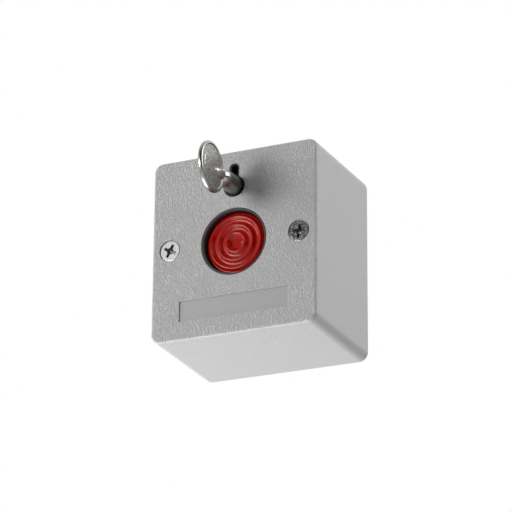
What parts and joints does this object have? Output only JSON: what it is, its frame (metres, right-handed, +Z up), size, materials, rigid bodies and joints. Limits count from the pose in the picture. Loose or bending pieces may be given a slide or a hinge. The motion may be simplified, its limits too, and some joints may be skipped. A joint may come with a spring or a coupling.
{
  "type": "panic button",
  "caption": "Wall-mounted panic button: deep textured cover, recessed ridged push button, key-operated reset, two face screws and a recessed label strip.",
  "frame": {"origin": "centre of the back face, which lies on the wall", "axes": "+Y into the wall, +X to the right seen from the front, +Z up"},
  "size_m": [0.066, 0.0749, 0.071],
  "materials": {
    "cover_plastic": "textured light grey moulded ABS",
    "base_plastic": "smooth light grey moulded ABS",
    "button_red": "glossy red moulded ABS",
    "frame_black": "glossy black moulded ABS",
    "stem_natural": "natural moulded acetal",
    "screw_zinc": "bright zinc plated steel",
    "key_nickel": "nickel plated die-cast zinc",
    "spring_steel": "spring steel wire and clip",
    "plate_steel": "zinc plated sheet steel",
    "board_laminate": "green solder mask on glass laminate",
    "switch_black": "black moulded plastic",
    "plunger_white": "white moulded plastic",
    "contact_brass": "tinned brass",
    "terminal_green": "green moulded polyamide"
  },
  "bodies": {
    "body": {"housing": "cover_plastic", "cover_screws": "screw_zinc", "base_plate": "base_plastic", "mechanism_frame": "frame_black", "frame_screws": "screw_zinc", "catch_retainer": "plate_steel", "retainer_screws": "screw_zinc", "circuit_board": "board_laminate", "board_screws": "screw_zinc", "switch_case": "switch_black", "switch_pin": "spring_steel", "switch_terminals": "contact_brass", "terminal_block": "terminal_green", "terminal_clamps": "contact_brass", "terminal_screws": "screw_zinc", "button_spring": "spring_steel", "catch_spring": "spring_steel"},
    "button": {"button_cap": "button_red", "button_stem": "stem_natural", "stem_clip": "spring_steel"},
    "catch": {"catch_plate": "plate_steel"},
    "lock": {"lock_rotor": "frame_black", "release_cam": "plate_steel", "cam_screw": "screw_zinc"},
    "key": {"key": "key_nickel"},
    "lever": {"switch_lever": "spring_steel"},
    "plunger": {"switch_plunger": "plunger_white"}
  },
  "joints": [
    {"name": "button_press", "type": "slide", "parent": "body", "child": "button", "axis": [0, 1, 0], "range_m": [0, 0.004], "stiffness_N_per_m": 800, "springref_m": -0.004, "deforming": ["button_spring"]},
    {"name": "switch_lever_turn", "type": "hinge", "parent": "body", "child": "lever", "pos_m": [-0.0124, -0.0165, 0], "axis": [0, 0, 1], "range_deg": [0, 16.65]},
    {"name": "switch_plunger_press", "type": "slide", "parent": "body", "child": "plunger", "axis": [0, 1, 0], "range_m": [0, 0.00126]},
    {"name": "key_turn", "type": "hinge", "parent": "body", "child": "lock", "pos_m": [0, -0.035, 0.0212], "axis": [0, 1, 0], "range_deg": [0, 90]},
    {"name": "key_withdraw", "type": "slide", "parent": "lock", "child": "key", "axis": [0, -1, 0], "range_m": [0, 0.0172]},
    {"name": "catch_slide", "type": "slide", "parent": "body", "child": "catch", "axis": [1, 0, 0], "range_m": [0, 0.00153], "deforming": ["catch_spring"]}
  ],
  "couplings": [
    {"joint": "switch_lever_turn", "follows": "button_press", "rad_per_m": 72.64},
    {"joint": "switch_plunger_press", "follows": "button_press", "ratio": 0.31567},
    {"joint": "catch_slide", "follows": "key_turn", "m_per_rad": 0.00095492}
  ]
}
